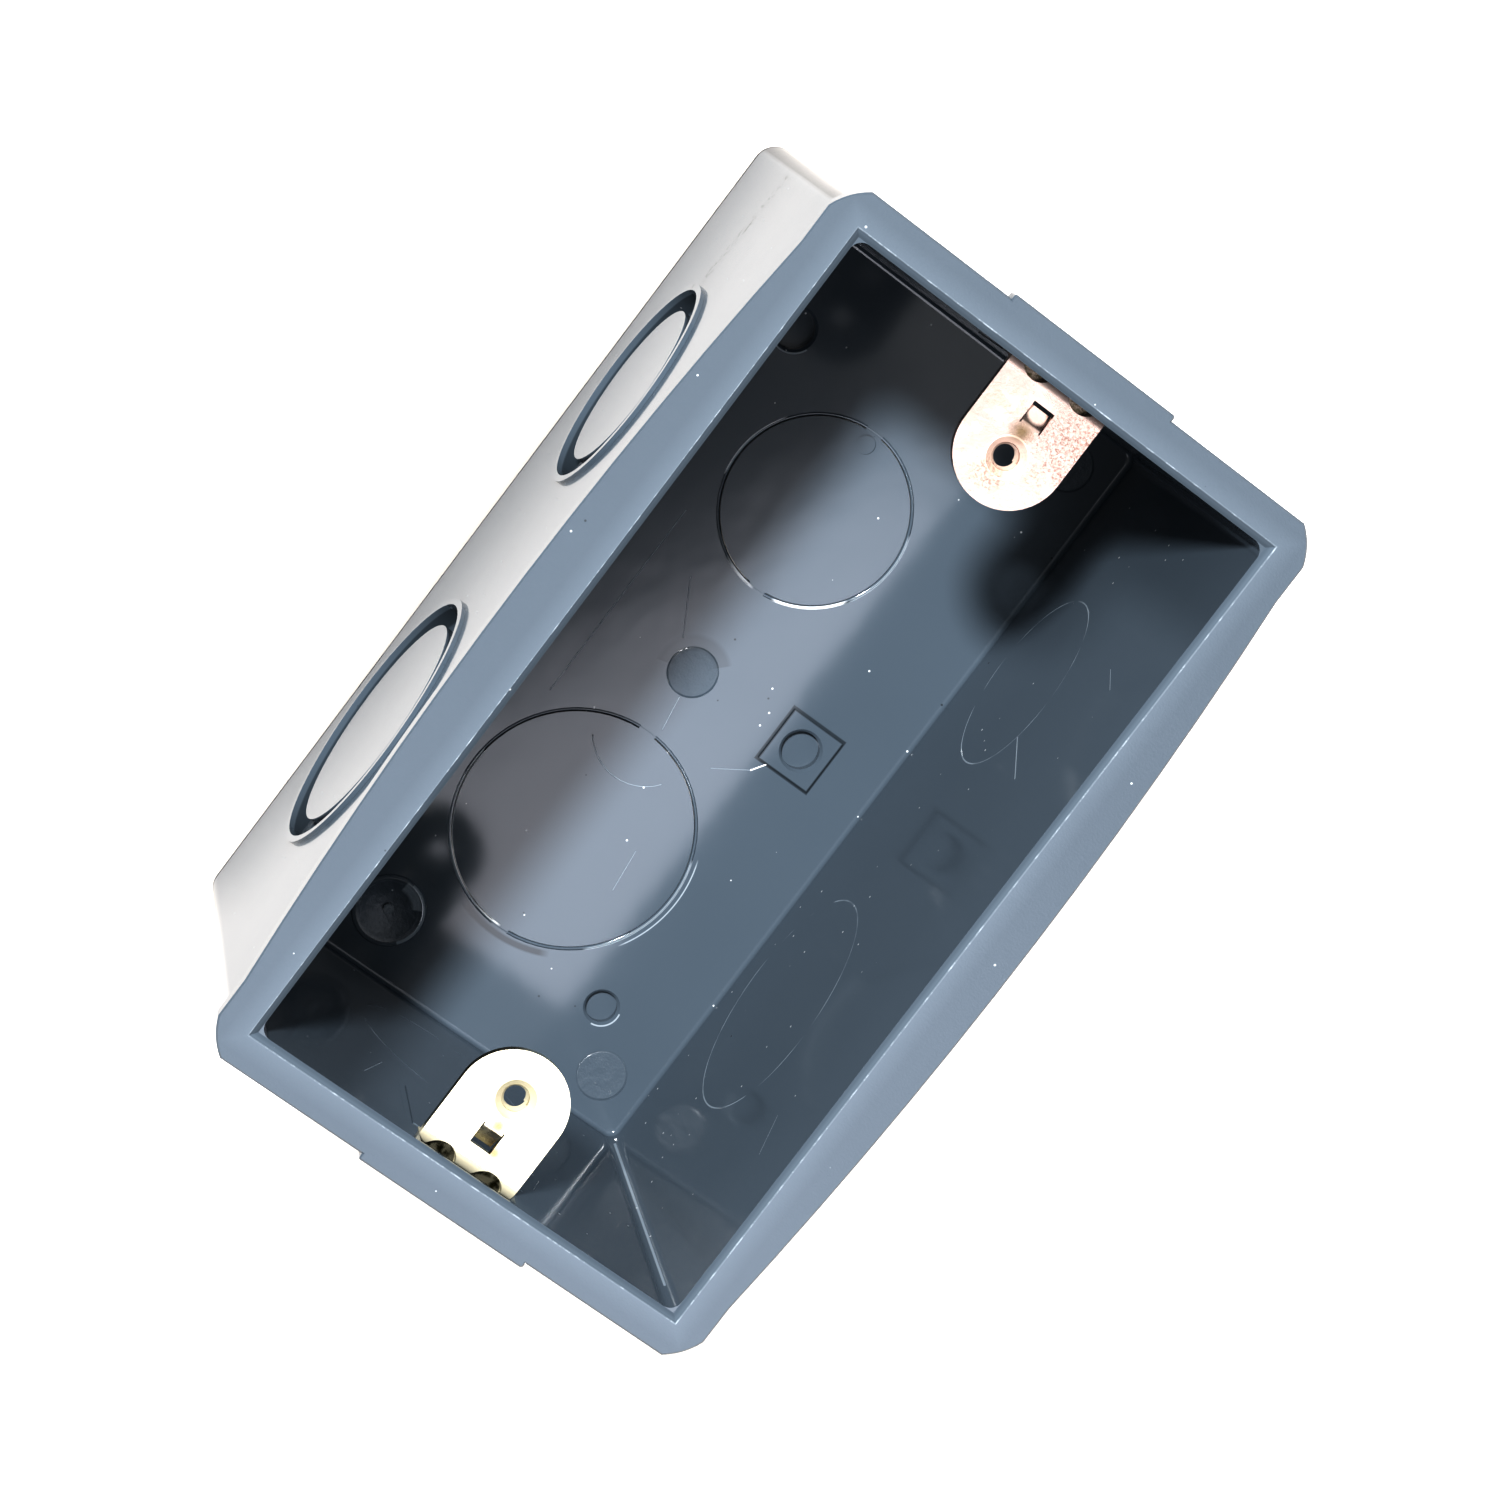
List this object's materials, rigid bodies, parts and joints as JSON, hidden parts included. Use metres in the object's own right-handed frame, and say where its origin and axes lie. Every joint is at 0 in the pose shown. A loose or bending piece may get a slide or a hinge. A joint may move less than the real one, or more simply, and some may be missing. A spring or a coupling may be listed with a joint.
{
  "type": "switch box",
  "caption": "Open moulded plastic flush box for a wall switch, with a bowed flange, round knockouts in walls and floor, and a steel lug with a tapped hole at each end.",
  "frame": {"origin": "Centre of the back face, in the middle of the box.", "axes": "X across the box, Y along its long side, Z from the back face out of the open side."},
  "size_m": [0.0664, 0.1106, 0.057],
  "materials": {
    "moulded_plastic": "glossy blue-grey PVC, as moulded",
    "plated_steel": "pressed sheet, bright zinc with a yellow tint"
  },
  "bodies": {
    "root": {"switch_box": "moulded_plastic", "upper_lug": "plated_steel", "lower_lug": "plated_steel"}
  },
  "joints": []
}
